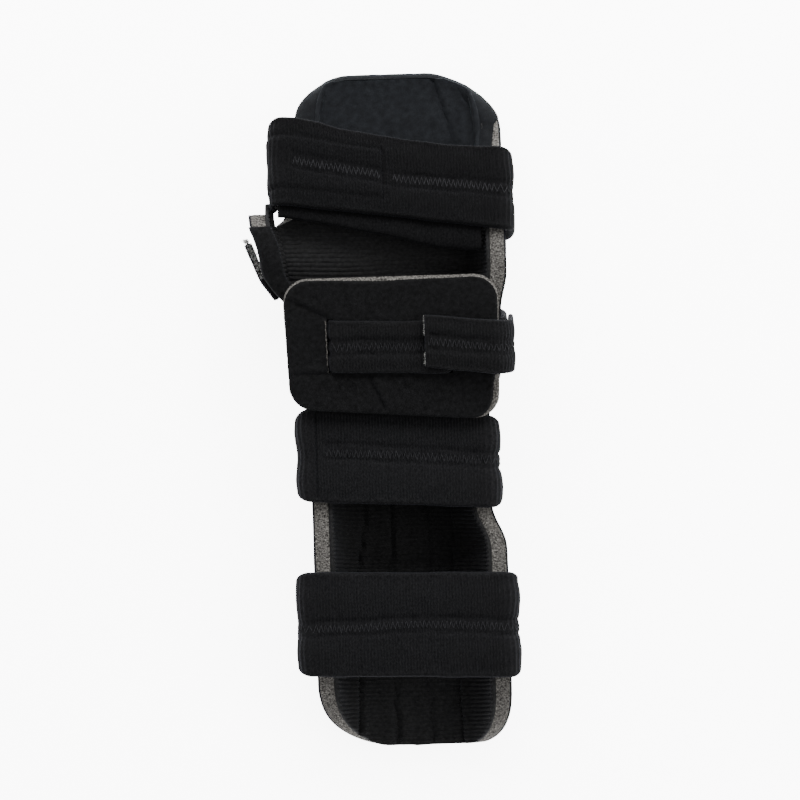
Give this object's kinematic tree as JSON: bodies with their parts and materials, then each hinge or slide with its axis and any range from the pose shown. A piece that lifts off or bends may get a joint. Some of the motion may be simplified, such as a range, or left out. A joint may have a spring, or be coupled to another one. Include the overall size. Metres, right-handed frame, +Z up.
{
  "type": "resting hand splint",
  "caption": "Resting splint for a right hand, wrist and forearm: padded trough with finger pan, thumb flap, slotted wrist pad and soft hook straps.",
  "frame": {"origin": "under the middle of the splint's bounding box, on the surface that it lies on", "axes": "+Y from the elbow end to the fingertips, +X to the little-finger side, +Z up through the open side"},
  "size_m": [0.1329, 0.33, 0.0701],
  "materials": {
    "loop_fabric": "black loop fabric, matte and napped",
    "grey_foam": "dark grey closed-cell foam with a granular cut edge",
    "core_plastic": "malleable thermoplastic sheet",
    "stay_metal": "plain aluminium bar",
    "ribbed_knit": "black fine-ribbed knit lining",
    "brushed_pad": "smooth brushed black fabric with a faint cool sheen",
    "pad_fabric": "flat black woven facing",
    "wide_strap": "soft near-black ribbed strap with a faint blue cast, zigzag stitched",
    "narrow_strap": "narrow black loop strap, stitched along its middle",
    "hook_strip": "black hook strip"
  },
  "bodies": {
    "shell": {"outer_cover": "loop_fabric", "core_shell": "core_plastic", "palmar_stay": "stay_metal", "stay_rivets": "stay_metal", "foam_shell": "grey_foam", "ribbed_liner": "ribbed_knit", "finger_pad": "brushed_pad", "thumb_cover": "loop_fabric", "thumb_foam": "grey_foam", "thumb_liner": "ribbed_knit", "thumb_edge_wrap": "pad_fabric", "thumb_stay": "stay_metal", "hand_strap_anchor": "wide_strap", "mid_strap_anchor": "wide_strap", "forearm_strap_anchor": "wide_strap", "wrist_strap_anchor": "narrow_strap", "thumb_strap_anchor": "narrow_strap"},
    "hand_strap": {"hand_strap": "wide_strap", "hand_strap_hook": "hook_strip"},
    "mid_strap": {"mid_strap": "wide_strap", "mid_strap_hook": "hook_strip"},
    "forearm_strap": {"forearm_strap": "wide_strap", "forearm_strap_hook": "hook_strip"},
    "wrist_pad": {"wrist_strap": "narrow_strap", "wrist_strap_hook": "hook_strip", "wrist_tab_base": "narrow_strap", "wrist_pad_backing": "pad_fabric", "wrist_pad_foam": "grey_foam", "wrist_pad_facing": "pad_fabric"},
    "wrist_tab": {"wrist_tab": "narrow_strap", "wrist_tab_hook": "hook_strip"},
    "thumb_strap": {"thumb_strap": "narrow_strap", "thumb_strap_hook": "hook_strip"}
  },
  "joints": [
    {"name": "hand_strap_peel", "type": "hinge", "parent": "shell", "child": "hand_strap", "pos_m": [0.0665, 0.11146, 0.03898], "axis": [0, 0.9397, -0.342], "range_deg": [0, 120]},
    {"name": "mid_strap_peel", "type": "hinge", "parent": "shell", "child": "mid_strap", "pos_m": [0.0562, -0.0251, 0.0355], "axis": [0, 1, 0], "range_deg": [0, 105]},
    {"name": "forearm_strap_peel", "type": "hinge", "parent": "shell", "child": "forearm_strap", "pos_m": [0.063, -0.1048, 0.0355], "axis": [0, 1, 0], "range_deg": [0, 120]},
    {"name": "wrist_pad_peel", "type": "hinge", "parent": "shell", "child": "wrist_pad", "pos_m": [0.0615, 0.03381, 0.03633], "axis": [0, 0.9863, 0.165], "range_deg": [0, 110]},
    {"name": "wrist_tab_peel", "type": "hinge", "parent": "wrist_pad", "child": "wrist_tab", "pos_m": [0.0645, 0.03133, 0.05113], "axis": [0, 0.9863, 0.165], "range_deg": [0, 110]},
    {"name": "thumb_strap_peel", "type": "hinge", "parent": "shell", "child": "thumb_strap", "pos_m": [-0.0592, 0.065, 0.0315], "axis": [0, 0, 1], "range_deg": [0, 100]}
  ]
}
